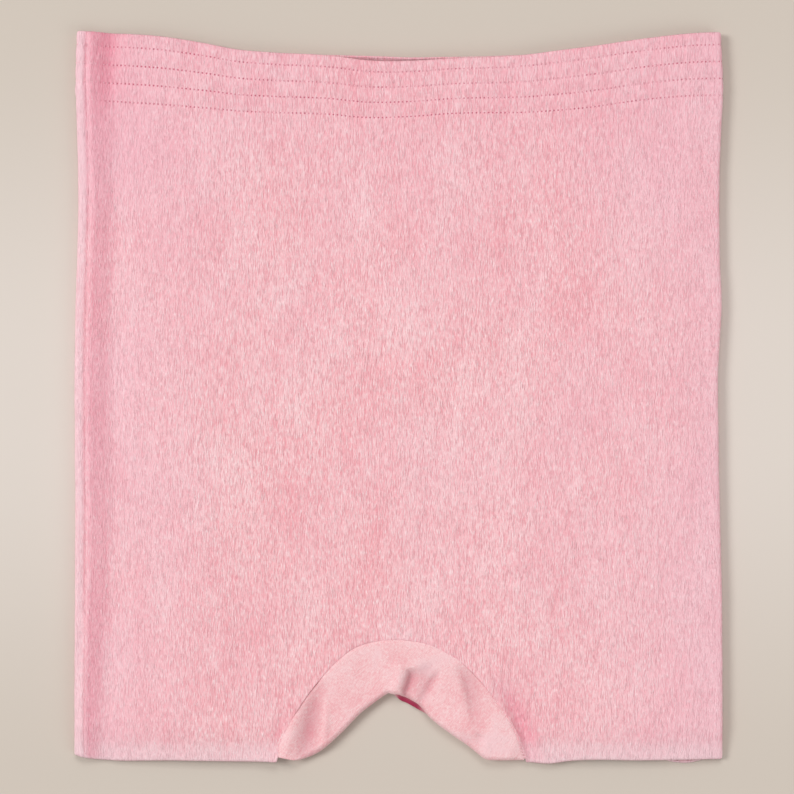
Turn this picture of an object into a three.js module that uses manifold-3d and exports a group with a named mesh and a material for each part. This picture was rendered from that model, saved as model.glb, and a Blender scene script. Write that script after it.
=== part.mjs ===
// Pull-on patient shorts in crinkle knit, laid flat on their back.
// Millimetres. +X is the wearer's left (right as seen from above), +Y towards the waist, +Z up.
// The origin is under the middle of the laid garment, on the surface it lies on.
import * as THREE from "three";
import { mergeVertices } from "three/addons/utils/BufferGeometryUtils.js";
import Module from "manifold-3d";

// Overall sizes, as laid
const WIDTH = 340.6;
const LENGTH = 385.6;
const OPENING_HEIGHT = 4.2; // free height between the inner faces of the waist

// Cloth, elastic and thread
const CLOTH = 1.1;
const FACING = 0.6; // turned-in cloth, pressed thin
const ELASTIC_THICKNESS = 0.5;
const ELASTIC_WIDTH = 7;
const THREAD = 0.4;
const THREAD_WIDTH = 0.8;
const OVERLOCK_THICKNESS = 0.5;
const OVERLOCK_WIDTH = 5;
const FOLD_RADIUS = 4.4; // outside of the folds at the sides

// Clearances
const LAYER_GAP = 0.2; // between layers that lie on each other
const EDGE_GAP = 0.3; // between pieces that meet edge to edge
const END_GAP = 0.6; // between an inner strip's end and the hem or casing it runs up to

// Waist
const WAIST_DIP_FRONT = 16; // the front edge sags this far below its corners
const WAIST_DIP_BACK = 13.8;
const FIRST_ROW = 5.2; // from the waist edge to the first row of stitches
const ROW_PITCH = 9.5;
const ROW_COUNT = 4;
const CASING_MARGIN = 3; // of the facing below the last row

// Legs and crotch, heights above the hem
const HEM_DEPTH = 10.5;
const NOTCH_HEIGHT = 36.6;
const NOTCH_PEAK_X = -5.3;
const NOTCH_LEFT_X = -53;
const NOTCH_RIGHT_X = 51;
const GUSSET_DEPTH = 28; // from the crotch fold up to the seam, at the peak
const GUSSET_END_LEFT = 12; // width of the gusset's end at each hem
const GUSSET_END_RIGHT = 17.5;

// Side seams, measured in from the folds: the left one shows on top, the right one lies underneath
const SIDE_SEAM_IN = 5.6;

// Worked out from the above
const LAYERS = CLOTH + FACING + ELASTIC_THICKNESS + 2 * LAYER_GAP;
const HEIGHT = 2 * LAYERS + OPENING_HEIGHT;
const MIDDLE = HEIGHT / 2;
const INNER_FACE = CLOTH + LAYER_GAP; // depth of whatever lies on the cloth's inner face
const HEM_Y = -LENGTH / 2;
const CORNER_Y = LENGTH / 2;
const LEFT_SEAM_X = -WIDTH / 2 + SIDE_SEAM_IN;
const RIGHT_SEAM_X = WIDTH / 2 - SIDE_SEAM_IN;
const CASING_DEPTH = FIRST_ROW + (ROW_COUNT - 1) * ROW_PITCH + CASING_MARGIN;
const BEYOND = 30; // how far cutting shapes run past the garment
const FAR = 2 * LENGTH;
const JOIN = 0.05; // overlap of the cutting shapes that must act as one

const CURVE_STEPS = 28;
const FOLD_STEPS = 4;

const wasm = await Module();
wasm.setup();

// ---------------------------------------------------------------- solids

function toSolid(geometry) {
  geometry.deleteAttribute("normal");
  geometry.deleteAttribute("uv");
  const merged = mergeVertices(geometry, 1e-4);
  return new wasm.Manifold(
    new wasm.Mesh({
      numProp: 3,
      vertProperties: merged.attributes.position.array,
      triVerts: new Uint32Array(merged.index.array),
    }),
  );
}

function toGeometry(solid) {
  const mesh = solid.getMesh();
  const geometry = new THREE.BufferGeometry();
  geometry.setAttribute("position", new THREE.BufferAttribute(mesh.vertProperties, 3));
  geometry.setIndex(new THREE.BufferAttribute(mesh.triVerts, 1));
  geometry.computeVertexNormals();
  return geometry;
}

// A straight prism over a plan outline.
function prism(points, bottom, top) {
  const shape = new THREE.Shape(points);
  const geometry = new THREE.ExtrudeGeometry(shape, { depth: top - bottom, bevelEnabled: false });
  return toSolid(geometry.translate(0, 0, bottom));
}

function box(left, right, low, high, bottom, top) {
  const geometry = new THREE.BoxGeometry(right - left, high - low, top - bottom);
  return toSolid(geometry.translate((left + right) / 2, (low + high) / 2, (bottom + top) / 2));
}

// ---------------------------------------------------------------- plan curves

function point(x, y) {
  return new THREE.Vector2(x, y);
}

// A curve's points, each moved sideways to its left by a distance, with a straight run-out below both feet.
function offsetPoints(curve, distance) {
  const moved = (share, along) => {
    const tangent = curve.getTangent(share);
    const side = point(-tangent.y, tangent.x).multiplyScalar(distance);
    return curve.getPoint(share).add(side).addScaledVector(tangent, along);
  };
  const points = Array.from({ length: CURVE_STEPS + 1 }, (_, i) => moved(i / CURVE_STEPS, 0));
  return [moved(0, -BEYOND), ...points, moved(1, BEYOND)];
}

// The waist edge from left to right: a slack curve between the two corners.
function waistCurve(dip) {
  const sag = [
    [-1.1, 0],
    [-1, 0],
    [-0.71, 0.23],
    [-0.45, 0.7],
    [-0.03, 1],
    [0.41, 0.78],
    [0.76, 0.29],
    [1, 0.05],
    [1.1, 0.05],
  ];
  return new THREE.SplineCurve(
    sag.map(([across, share]) => point((across * WIDTH) / 2, CORNER_Y - share * dip)),
  );
}

// The crotch fold from the left leg's hem over the peak to the right leg's hem.
const notchCurve = new THREE.SplineCurve([
  point(NOTCH_LEFT_X, HEM_Y),
  point((NOTCH_LEFT_X + NOTCH_PEAK_X) / 2, HEM_Y + 0.5 * NOTCH_HEIGHT),
  point(NOTCH_PEAK_X, HEM_Y + NOTCH_HEIGHT),
  point((NOTCH_RIGHT_X + NOTCH_PEAK_X) / 2, HEM_Y + 0.52 * NOTCH_HEIGHT),
  point(NOTCH_RIGHT_X, HEM_Y),
]);

// The gusset's seam: an arch that leaves a leg's end on each side and clears the crotch fold at the top.
const ARCH_HEIGHT = NOTCH_HEIGHT + GUSSET_DEPTH;
const ARCH_LEFT_X = NOTCH_LEFT_X - GUSSET_END_LEFT;
const ARCH_RIGHT_X = NOTCH_RIGHT_X + GUSSET_END_RIGHT;
const archCurve = new THREE.SplineCurve([
  point(ARCH_LEFT_X, HEM_Y),
  point(0.79 * ARCH_LEFT_X, HEM_Y + 0.46 * ARCH_HEIGHT),
  point(0.53 * ARCH_LEFT_X, HEM_Y + 0.8 * ARCH_HEIGHT),
  point(NOTCH_PEAK_X, HEM_Y + ARCH_HEIGHT),
  point(0.4 * ARCH_RIGHT_X, HEM_Y + 0.9 * ARCH_HEIGHT),
  point(0.7 * ARCH_RIGHT_X, HEM_Y + 0.59 * ARCH_HEIGHT),
  point(ARCH_RIGHT_X, HEM_Y),
]);

// ---------------------------------------------------------------- regions that the pieces are cut from

// What lies under the crotch fold or the gusset's seam, with that line moved up into the cloth by a distance.
function under(curve, distance) {
  return prism(offsetPoints(curve, distance), -BEYOND, HEIGHT + BEYOND);
}

// Everything further than a depth inside the laid garment's outer face: a long flat bar with round sides,
// run past the waist and the hems, less the space between the legs.
function inside(depth) {
  const radius = FOLD_RADIUS - depth;
  const side = WIDTH / 2 - FOLD_RADIUS;
  const section = new THREE.Shape();
  section.absarc(side, FOLD_RADIUS, radius, -Math.PI / 2, 0);
  section.absarc(side, HEIGHT - FOLD_RADIUS, radius, 0, Math.PI / 2);
  section.absarc(-side, HEIGHT - FOLD_RADIUS, radius, Math.PI / 2, Math.PI);
  section.absarc(-side, FOLD_RADIUS, radius, Math.PI, 1.5 * Math.PI);
  const geometry = new THREE.ExtrudeGeometry(section, {
    depth: LENGTH + 2 * BEYOND,
    bevelEnabled: false,
    curveSegments: FOLD_STEPS,
  });
  geometry.rotateX(Math.PI / 2).translate(0, LENGTH / 2 + BEYOND, 0);
  return toSolid(geometry).subtract(under(notchCurve, depth));
}

// A layer of cloth that goes all round, front and back, a depth below the outer face.
function layer(depth, thickness) {
  return inside(depth).subtract(inside(depth + thickness));
}

// The band between two distances below the waist edge, front and back.
function belowWaist(from, to) {
  const band = (dip) => {
    const edge = waistCurve(dip).getPoints(CURVE_STEPS);
    const upper = edge.map((p) => point(p.x, p.y - from));
    const lower = edge.map((p) => point(p.x, p.y - to)).reverse();
    return [...upper, ...lower];
  };
  const front = prism(band(WAIST_DIP_FRONT), MIDDLE, HEIGHT + BEYOND);
  const back = prism(band(WAIST_DIP_BACK), -BEYOND, MIDDLE + JOIN);
  return front.add(back);
}

// The band between two heights above the hem.
function aboveHem(from, to) {
  return box(-WIDTH, WIDTH, HEM_Y + from, HEM_Y + to, -BEYOND, HEIGHT + BEYOND);
}

const frontHalf = box(-WIDTH, WIDTH, -FAR, FAR, MIDDLE, HEIGHT + BEYOND);
const backHalf = box(-WIDTH, WIDTH, -FAR, FAR, -BEYOND, MIDDLE);
const leftHalf = box(-WIDTH, NOTCH_PEAK_X, -FAR, FAR, -BEYOND, HEIGHT + BEYOND);
const rightHalf = box(NOTCH_PEAK_X, WIDTH, -FAR, FAR, -BEYOND, HEIGHT + BEYOND);

// The front's share of the cloth runs from the left seam, on top, round the right fold to the right seam,
// which lies underneath. The back has the rest.
const frontShare = box(LEFT_SEAM_X + EDGE_GAP / 2, WIDTH, -FAR, FAR, MIDDLE, HEIGHT + BEYOND).add(
  box(RIGHT_SEAM_X + EDGE_GAP / 2, WIDTH, -FAR, FAR, -BEYOND, MIDDLE + JOIN),
);
const backShare = box(-WIDTH, RIGHT_SEAM_X - EDGE_GAP / 2, -FAR, FAR, -BEYOND, MIDDLE).add(
  box(-WIDTH, LEFT_SEAM_X - EDGE_GAP / 2, -FAR, FAR, MIDDLE - JOIN, HEIGHT + BEYOND),
);

// ---------------------------------------------------------------- pieces

const shorts = new THREE.Group();

function addPiece(name, solid, color, roughness) {
  const material = new THREE.MeshStandardMaterial({ color, roughness, metalness: 0 });
  const mesh = new THREE.Mesh(toGeometry(solid), material);
  mesh.name = name;
  shorts.add(mesh);
}

const CRINKLE_KNIT = [0xf2b3bf, 0.95];
const GUSSET_KNIT = [0xf0b6bf, 0.95];
const FACING_KNIT = [0xf5c0ca, 0.95];
const ELASTIC_COLOR = [0xf3efe8, 0.8];
const THREAD_COLOR = [0xf6c3cc, 0.6];

function rowDepth(row) {
  return FIRST_ROW + row * ROW_PITCH;
}

// The ring of a row of stitches, or with a clearance the groove that it lies in.
function stitchRing(row, clearance) {
  const from = rowDepth(row) - THREAD_WIDTH / 2 - clearance;
  const to = rowDepth(row) + THREAD_WIDTH / 2 + clearance;
  return layer(-clearance, THREAD + 2 * clearance).intersect(belowWaist(from, to));
}

// The outer cloth, with a groove pressed in by each row of stitches.
let outerCloth = layer(0, CLOTH).intersect(belowWaist(0, FAR)).intersect(aboveHem(0, FAR));
for (let row = 0; row < ROW_COUNT; row += 1) {
  outerCloth = outerCloth.subtract(stitchRing(row, EDGE_GAP));
}
const bodyCloth = outerCloth.subtract(under(archCurve, EDGE_GAP / 2));
addPiece("front_panel", bodyCloth.intersect(frontShare), ...CRINKLE_KNIT);
addPiece("back_panel", bodyCloth.intersect(backShare), ...CRINKLE_KNIT);
addPiece("gusset", outerCloth.intersect(under(archCurve, -EDGE_GAP / 2)), ...GUSSET_KNIT);

// Waist: rows of thread, elastic loops in the channels between them, and the facing over the elastics.
for (let row = 0; row < ROW_COUNT; row += 1) {
  addPiece(`waist_stitch_row_${row + 1}`, stitchRing(row, 0), ...THREAD_COLOR);
}
for (let channel = 0; channel < ROW_COUNT - 1; channel += 1) {
  const from = rowDepth(channel) + (ROW_PITCH - ELASTIC_WIDTH) / 2;
  const loop = layer(INNER_FACE, ELASTIC_THICKNESS).intersect(belowWaist(from, from + ELASTIC_WIDTH));
  addPiece(`waist_elastic_${channel + 1}`, loop, ...ELASTIC_COLOR);
}
const facingDepth = INNER_FACE + ELASTIC_THICKNESS + LAYER_GAP;
const facing = layer(facingDepth, FACING).intersect(belowWaist(0, CASING_DEPTH));
addPiece("waist_facing_front", facing.intersect(frontShare), ...FACING_KNIT);
addPiece("waist_facing_back", facing.intersect(backShare), ...FACING_KNIT);

// Leg hems, each a turned-in ring round its opening with a row of blind stitches along its upper edge.
const hemRing = layer(INNER_FACE, FACING).intersect(aboveHem(0, HEM_DEPTH));
const hemStitchFoot = HEM_DEPTH + EDGE_GAP;
const hemStitchHead = hemStitchFoot + THREAD_WIDTH;
const hemStitch = layer(INNER_FACE, THREAD).intersect(aboveHem(hemStitchFoot, hemStitchHead));
addPiece("left_leg_hem", hemRing.intersect(leftHalf), ...FACING_KNIT);
addPiece("right_leg_hem", hemRing.intersect(rightHalf), ...FACING_KNIT);
addPiece("left_leg_hem_thread", hemStitch.intersect(leftHalf), ...THREAD_COLOR);
addPiece("right_leg_hem_thread", hemStitch.intersect(rightHalf), ...THREAD_COLOR);

// Overlocked seams on the inner face, between the casing and the hems.
const seamZone = belowWaist(CASING_DEPTH + END_GAP, FAR).intersect(aboveHem(hemStitchHead + END_GAP, FAR));
const overlock = layer(INNER_FACE, OVERLOCK_THICKNESS).intersect(seamZone);
const halfWidth = OVERLOCK_WIDTH / 2;
function sideStrip(x) {
  return box(x - halfWidth, x + halfWidth, -FAR, FAR, -BEYOND, HEIGHT + BEYOND);
}
const leftSeam = overlock.intersect(sideStrip(LEFT_SEAM_X)).intersect(frontHalf);
const rightSeam = overlock.intersect(sideStrip(RIGHT_SEAM_X)).intersect(backHalf);
const archSeam = overlock.intersect(under(archCurve, halfWidth).subtract(under(archCurve, -halfWidth)));
addPiece("side_seam_thread_left", leftSeam, ...THREAD_COLOR);
addPiece("side_seam_thread_right", rightSeam, ...THREAD_COLOR);
addPiece("gusset_seam_thread_front", archSeam.intersect(frontHalf), ...THREAD_COLOR);
addPiece("gusset_seam_thread_back", archSeam.intersect(backHalf), ...THREAD_COLOR);

// The gusset's lining, inside its seams and above the hems.
const insideSeams = under(archCurve, -halfWidth - EDGE_GAP).intersect(seamZone);
addPiece("gusset_lining", layer(INNER_FACE, FACING).intersect(insideSeams), ...FACING_KNIT);

export default shorts;
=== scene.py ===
"""Pull-on patient shorts in crinkle knit, laid flat: the visible pieces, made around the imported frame."""

from __future__ import annotations

import logging
import math
from dataclasses import dataclass
from enum import Enum
from typing import Union

import bmesh
import bpy
import numpy as np
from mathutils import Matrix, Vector

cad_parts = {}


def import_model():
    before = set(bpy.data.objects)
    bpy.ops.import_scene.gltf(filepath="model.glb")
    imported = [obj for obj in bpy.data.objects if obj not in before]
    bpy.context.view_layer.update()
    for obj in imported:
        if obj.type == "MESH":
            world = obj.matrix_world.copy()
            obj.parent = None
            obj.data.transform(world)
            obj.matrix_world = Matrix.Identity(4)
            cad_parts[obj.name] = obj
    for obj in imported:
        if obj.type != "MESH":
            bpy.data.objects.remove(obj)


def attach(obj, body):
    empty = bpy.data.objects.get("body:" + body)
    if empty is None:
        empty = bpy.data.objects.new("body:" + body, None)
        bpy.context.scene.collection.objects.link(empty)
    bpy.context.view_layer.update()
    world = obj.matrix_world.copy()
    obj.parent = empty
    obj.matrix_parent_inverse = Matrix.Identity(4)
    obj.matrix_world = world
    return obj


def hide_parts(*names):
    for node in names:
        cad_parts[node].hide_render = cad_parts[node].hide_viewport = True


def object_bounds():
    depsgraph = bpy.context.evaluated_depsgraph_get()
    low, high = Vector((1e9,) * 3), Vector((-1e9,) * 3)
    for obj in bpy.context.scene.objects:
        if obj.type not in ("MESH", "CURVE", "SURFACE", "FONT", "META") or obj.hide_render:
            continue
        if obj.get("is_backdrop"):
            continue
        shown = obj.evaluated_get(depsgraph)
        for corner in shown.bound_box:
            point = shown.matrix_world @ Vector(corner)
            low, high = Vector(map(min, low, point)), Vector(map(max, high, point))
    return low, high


LOG = logging.getLogger("patient_shorts")
MM = 0.001
BODY = "root"
STITCH_PITCH = 2.15 * MM
ROW_PITCH = 9.6 * MM
Array = np.ndarray
Points = tuple[tuple[float, float], ...]
Span = tuple[float, float]
Colour = tuple[float, float, float]
Cell = tuple[float, float, float]
NodeSocket = bpy.types.NodeSocket
Value = Union[NodeSocket, float]


# ------------------------------------------------------------------------------------ number helpers


def smooth_line(points: Points, at: Array) -> Array:
    """Reads a smooth curve through a few points.

    Args:
        points: The (place, value) pairs, in rising order of place.
        at: The places to read.

    Returns:
        The curve's values there, held level beyond both ends.
    """
    place, value = np.array(points, float).T
    slope = np.gradient(value, place)
    at = np.clip(at, place[0], place[-1])
    left = np.clip(np.searchsorted(place, at, side="right") - 1, 0, len(place) - 2)
    span = place[left + 1] - place[left]
    t = (at - place[left]) / span
    start = (1 + 2 * t) * (1 - t) ** 2 * value[left] + t * (1 - t) ** 2 * span * slope[left]
    end = t**2 * (3 - 2 * t) * value[left + 1] + t**2 * (t - 1) * span * slope[left + 1]
    return start + end


def smooth_path(stations: Points, share: Array) -> Array:
    """Walks a smooth path through stations at equal steps of share.

    Args:
        stations: The points that the path passes.
        share: How far along, from 0 to 1.

    Returns:
        The points, with their coordinates in the last axis.
    """
    steps = np.linspace(0, 1, len(stations))
    columns = [smooth_line(tuple(zip(steps, values)), share) for values in zip(*stations)]
    return np.stack(columns, axis=-1)


def ease(low: float, high: float, value: Array) -> Array:
    """Rises smoothly from 0 at low to 1 at high."""
    t = np.clip((value - low) / (high - low), 0, 1)
    return t * t * (3 - 2 * t)


def fall(low: float, high: float, value: Array) -> Array:
    """Falls smoothly from 1 at low to 0 at high."""
    return 1 - ease(low, high, value)


def hill(value: Array, centre: float | Array, width: float) -> Array:
    """Gives a smooth bump of height 1 about a centre."""
    return np.exp(-(((value - centre) / width) ** 2))


@dataclass(frozen=True)
class Streaks:
    """Irregular lengthwise ridges, as a crinkled knit has them.

    Each column of ridges is shifted along by its own amount, so no two columns start together. The keys are
    the strides through the table of random heights, so that neighbours read places far apart.
    """

    width: float
    length: float
    seed: int
    table_size: int = 8192
    shift: float = 7.3
    shift_key: int = 37
    shift_start: int = 11
    column_key: int = 131
    step_key: int = 17

    def height(self, across: Array, along: Array) -> Array:
        """Gives the ridges' height.

        Args:
            across: Distance across the ridges, in metres.
            along: Distance along them, in metres.

        Returns:
            Heights from about -1 to 1.
        """
        table = np.random.RandomState(self.seed).uniform(-1, 1, self.table_size)
        column = np.floor(across / self.width).astype(int)
        blend = across / self.width - column
        blend = blend * blend * (3 - 2 * blend)
        return (1 - blend) * self._ridge(table, column, along) + blend * self._ridge(table, column + 1, along)

    def _ridge(self, table: Array, column: Array, along: Array) -> Array:
        """Reads one column's height along its length.

        Args:
            table: The random heights.
            column: The column's number at each point.
            along: Distance along the ridges, in metres.

        Returns:
            The column's height at each point, from -1 to 1.
        """
        start = table[(column * self.shift_key + self.shift_start) % self.table_size]
        place = along / self.length + self.shift * start
        step = np.floor(place).astype(int)
        t = place - step
        t = t * t * (3 - 2 * t)
        low = table[(column * self.column_key + step * self.step_key) % self.table_size]
        high = table[(column * self.column_key + (step + 1) * self.step_key) % self.table_size]
        return (1 - t) * low + t * high


@dataclass(frozen=True)
class Crease:
    """A valley or, with a negative depth, a ridge that the cloth makes along a line.

    The sizes are in millimetres, and the line's points are too: across from the middle, and up from the hem.
    A lean above 0 makes the side towards the left steep and the other gentle. The ends say what share of the
    depth is left there. The sides change over within the rounding.
    """

    line: Points
    depth: float
    width: float
    lean: float = 0.0
    ends: Span = (0.35, 0.35)
    rounding: float = 0.6

    def drop(self, x: Array, rise: Array) -> Array:
        """Gives how far the crease lowers the cloth.

        Args:
            x: Distance across from the middle, in metres.
            rise: Distance up from the hem, in metres.

        Returns:
            The drop, in metres.
        """
        points = np.array(self.line) * MM
        nearest = np.full(np.shape(x), np.inf)
        fade = np.zeros(np.shape(x))
        side = np.zeros(np.shape(x))
        total = len(points) - 1
        for index in range(total):
            start = points[index]
            run = points[index + 1] - start
            t = ((x - start[0]) * run[0] + (rise - start[1]) * run[1]) / (run @ run)
            t = np.clip(t, 0, 1)
            beside = x - start[0] - t * run[0]
            distance = np.hypot(beside, rise - start[1] - t * run[1])
            along = (index + t) / total
            closer = distance < nearest
            nearest = np.where(closer, distance, nearest)
            fade = np.where(closer, along, fade)
            side = np.where(closer, np.tanh(beside / (self.rounding * MM)), side)
        least = np.where(fade < 0.5, self.ends[0], self.ends[1])
        ends = least + (1 - least) * np.sin(np.pi * fade)
        width = self.width * MM * (1 + self.lean * side)
        return self.depth * MM * ends * np.exp(-((nearest / width) ** 2))


# ------------------------------------------------------------------------------------ mesh helpers


def cloth_from_grid(
    name: str, place: Array, marks: dict[str, Array], ring: bool = False
) -> bpy.types.Object:
    """Makes a sheet of cloth from a grid, moved to its place.

    Args:
        name: The piece's name.
        place: The points, as rows by columns by 3, in metres.
        marks: Named values to keep on the points, each as rows by columns.
        ring: Whether the last column meets the first.

    Returns:
        The new object, at the origin.
    """
    rows, columns = place.shape[:2]
    bm = bmesh.new()
    bmesh.ops.create_grid(bm, x_segments=columns - 1, y_segments=rows - 1, size=1.0)
    mesh = bpy.data.meshes.new(name)
    bm.to_mesh(mesh)
    bm.free()
    flat = np.empty(len(mesh.vertices) * 3, np.float32)
    mesh.vertices.foreach_get("co", flat)
    unit = flat.reshape(-1, 3)
    column = np.rint((unit[:, 0] + 1) / 2 * (columns - 1)).astype(int)
    row = np.rint((unit[:, 1] + 1) / 2 * (rows - 1)).astype(int)
    mesh.vertices.foreach_set("co", place[row, column].astype(np.float32).ravel())
    for mark, values in marks.items():
        layer = mesh.attributes.new(mark, "FLOAT", "POINT")
        layer.data.foreach_set("value", values[row, column].astype(np.float32))
    if ring:
        join_doubles(mesh)
    mesh.update()
    piece = bpy.data.objects.new(name, mesh)
    bpy.context.scene.collection.objects.link(piece)
    return piece


def join_doubles(mesh: bpy.types.Mesh, distance: float = 1e-6) -> None:
    """Joins the points of a mesh that lie on each other.

    Args:
        mesh: The mesh.
        distance: How near two points have to be, in metres.
    """
    bm = bmesh.new()
    bm.from_mesh(mesh)
    bmesh.ops.remove_doubles(bm, verts=bm.verts[:], dist=distance)
    bm.to_mesh(mesh)
    bm.free()


def apply_modifiers(piece: bpy.types.Object) -> None:
    """Bakes a piece's modifiers into its mesh.

    Args:
        piece: The piece, which is left without modifiers.
    """
    graph = bpy.context.evaluated_depsgraph_get()
    mesh = bpy.data.meshes.new_from_object(piece.evaluated_get(graph))
    old = piece.data
    piece.modifiers.clear()
    piece.data = mesh
    mesh.name = piece.name
    bpy.data.meshes.remove(old)


# The triangles of both shells and the rim, as a multiple of the outer shell's.
ALL_ROUND = 2.02
# How strongly the thinning keeps to the inner shell.
INNER_ONLY = 10


def thicken(piece: bpy.types.Object, thickness: float, most_triangles: int = 0) -> None:
    """Gives a sheet its thickness, inwards, and closes its edges.

    Args:
        piece: The sheet, with its faces outwards.
        thickness: In metres.
        most_triangles: If above 0, the hidden inner face is thinned until the piece has this many.
    """
    outer = len(piece.data.polygons) * 2
    piece.vertex_groups.new(name="inner")
    solid = piece.modifiers.new("thickness", "SOLIDIFY")
    solid.thickness = thickness
    solid.offset = -1
    solid.shell_vertex_group = "inner"
    if 0 < most_triangles < 2 * outer:
        thin = piece.modifiers.new("inner_face", "DECIMATE")
        thin.ratio = most_triangles / (ALL_ROUND * outer)
        thin.vertex_group = "inner"
        thin.vertex_group_factor = INNER_ONLY
    apply_modifiers(piece)
    piece.vertex_groups.clear()


def smooth_shading(piece: bpy.types.Object) -> None:
    """Shades a piece's faces smoothly."""
    piece.data.polygons.foreach_set("use_smooth", [True] * len(piece.data.polygons))


def dress(piece: bpy.types.Object, material: bpy.types.Material, slot: str, *nodes: str) -> None:
    """Gives a piece its finish and its place on the body, and hides the CAD nodes that it is seen instead of.

    Args:
        piece: The piece.
        material: Its finish.
        slot: Not used.
        nodes: The CAD nodes that the piece is seen instead of.
    """
    piece.data.materials.clear()
    piece.data.materials.append(material)
    smooth_shading(piece)
    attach(piece, BODY)
    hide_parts(*nodes)
    LOG.info("%s: %d faces", piece.name, len(piece.data.polygons))


# ------------------------------------------------------------------------------------ finishes


class Socket(Enum):
    """The inputs of the cloth shader that stay the same all over a piece."""

    ROUGHNESS = "Roughness"
    SHEEN = "Sheen Weight"
    SHEEN_ROUGHNESS = "Sheen Roughness"
    SPECULAR = "Specular IOR Level"


class Shader:
    """A material's node tree, built one node at a time.

    The Mix node keeps inputs for numbers, vectors and colours side by side: these are the ones for colours.
    """

    MIX_INPUTS = (0, 6, 7)
    MIX_OUTPUT = 2

    def __init__(self, name: str) -> None:
        """Starts a material that holds one cloth shader."""
        self.material = bpy.data.materials.new(name)
        self.material.use_nodes = True
        self.tree = self.material.node_tree
        self.surface = self.tree.nodes["Principled BSDF"]

    def constant(self, socket: Socket, value: float) -> None:
        """Sets an input that is the same all over."""
        self.surface.inputs[socket.value].default_value = value

    def link(self, source: NodeSocket, target: NodeSocket) -> None:
        """Joins two sockets."""
        self.tree.links.new(source, target)

    def _feed(self, target: NodeSocket, value: Value | Colour) -> None:
        """Feeds an input with another socket, or sets it to a number or a colour.

        Args:
            target: The input.
            value: The socket, number or colour.
        """
        if isinstance(value, NodeSocket):
            self.link(value, target)
        elif isinstance(value, tuple):
            target.default_value = (*value, 1.0)
        else:
            target.default_value = float(value)

    def math(
        self, operation: str, first: Value, second: Value = 0.0, third: Value = 0.0
    ) -> NodeSocket:
        """Adds a sum.

        Args:
            operation: The Math node's operation.
            first: A socket or a number.
            second: A socket or a number.
            third: A socket or a number.

        Returns:
            The result's socket.
        """
        node = self.tree.nodes.new("ShaderNodeMath")
        node.operation = operation
        for target, value in zip(node.inputs, (first, second, third)):
            self._feed(target, value)
        return node.outputs[0]

    def vary(self, base: NodeSocket, noise: NodeSocket, weight: float) -> NodeSocket:
        """Moves a value up and down with a noise, by half the weight either way."""
        return self.math("ADD", base, self.math("MULTIPLY_ADD", noise, weight, -weight / 2))

    def step(self, value: NodeSocket, low: float, high: float) -> NodeSocket:
        """Turns a value into 0 at low and 1 at high, with a smooth change between.

        Args:
            value: The value's socket.
            low: What becomes 0.
            high: What becomes 1.

        Returns:
            The result's socket.
        """
        node = self.tree.nodes.new("ShaderNodeMapRange")
        node.interpolation_type = "SMOOTHSTEP"
        self.link(value, node.inputs["Value"])
        node.inputs["From Min"].default_value = low
        node.inputs["From Max"].default_value = high
        return node.outputs["Result"]

    def mark(self, name: str) -> NodeSocket:
        """Reads a value that the mesh keeps on its points."""
        node = self.tree.nodes.new("ShaderNodeAttribute")
        node.attribute_name = name
        return node.outputs["Fac"]

    def place(self) -> NodeSocket:
        """Reads the place on the object."""
        return self.tree.nodes.new("ShaderNodeTexCoord").outputs["Object"]

    def split(self, vector: NodeSocket) -> tuple[NodeSocket, ...]:
        """Splits a vector into its three parts."""
        node = self.tree.nodes.new("ShaderNodeSeparateXYZ")
        self.link(vector, node.inputs[0])
        return tuple(node.outputs)

    def noise(self, cell: Cell, detail: float = 2.0, turn: float = 0.0) -> NodeSocket:
        """Adds a stretched noise.

        Args:
            cell: The size of a patch along X, Y and Z, in metres.
            detail: How many finer layers are added.
            turn: The turn about Z, in degrees.

        Returns:
            The noise's socket, from 0 to 1.
        """
        node = self.tree.nodes.new("ShaderNodeTexNoise")
        node.inputs["Scale"].default_value = 1.0
        node.inputs["Detail"].default_value = detail
        self.link(self.stretch(cell, turn), node.inputs["Vector"])
        return node.outputs[0]

    def stretch(self, cell: Cell, turn: float) -> NodeSocket:
        """Measures the place on the object in cells, turned about Z.

        Args:
            cell: The cell's size along X, Y and Z, in metres.
            turn: The turn about Z, in degrees.

        Returns:
            The measured place's socket.
        """
        mapping = self.tree.nodes.new("ShaderNodeMapping")
        mapping.vector_type = "TEXTURE"
        mapping.inputs["Scale"].default_value = cell
        mapping.inputs["Rotation"].default_value[2] = math.radians(turn)
        self.link(self.place(), mapping.inputs["Vector"])
        return mapping.outputs[0]

    def blend(
        self, share: Value, first: NodeSocket | Colour, second: NodeSocket | Colour
    ) -> NodeSocket:
        """Mixes two colours.

        Args:
            share: A socket or a number: 0 gives the first and 1 the second.
            first: A socket or a colour.
            second: A socket or a colour.

        Returns:
            The mixed colour's socket.
        """
        node = self.tree.nodes.new("ShaderNodeMix")
        node.data_type = "RGBA"
        for index, value in zip(self.MIX_INPUTS, (share, first, second)):
            self._feed(node.inputs[index], value)
        return node.outputs[self.MIX_OUTPUT]

    def bump(self, height: NodeSocket, depth: float, strength: float = 1.0) -> None:
        """Raises the surface's fine relief, on top of any already there.

        Args:
            height: The relief's socket.
            depth: How deep it is, in metres.
            strength: How much of it shows.
        """
        node = self.tree.nodes.new("ShaderNodeBump")
        node.inputs["Distance"].default_value = depth
        node.inputs["Strength"].default_value = strength
        self.link(height, node.inputs["Height"])
        before = self.surface.inputs["Normal"]
        if before.is_linked:
            self.link(before.links[0].from_socket, node.inputs["Normal"])
        self.link(node.outputs[0], before)

    def colour(self, socket: NodeSocket) -> None:
        """Sets the surface's colour."""
        self.link(socket, self.surface.inputs["Base Color"])


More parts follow.
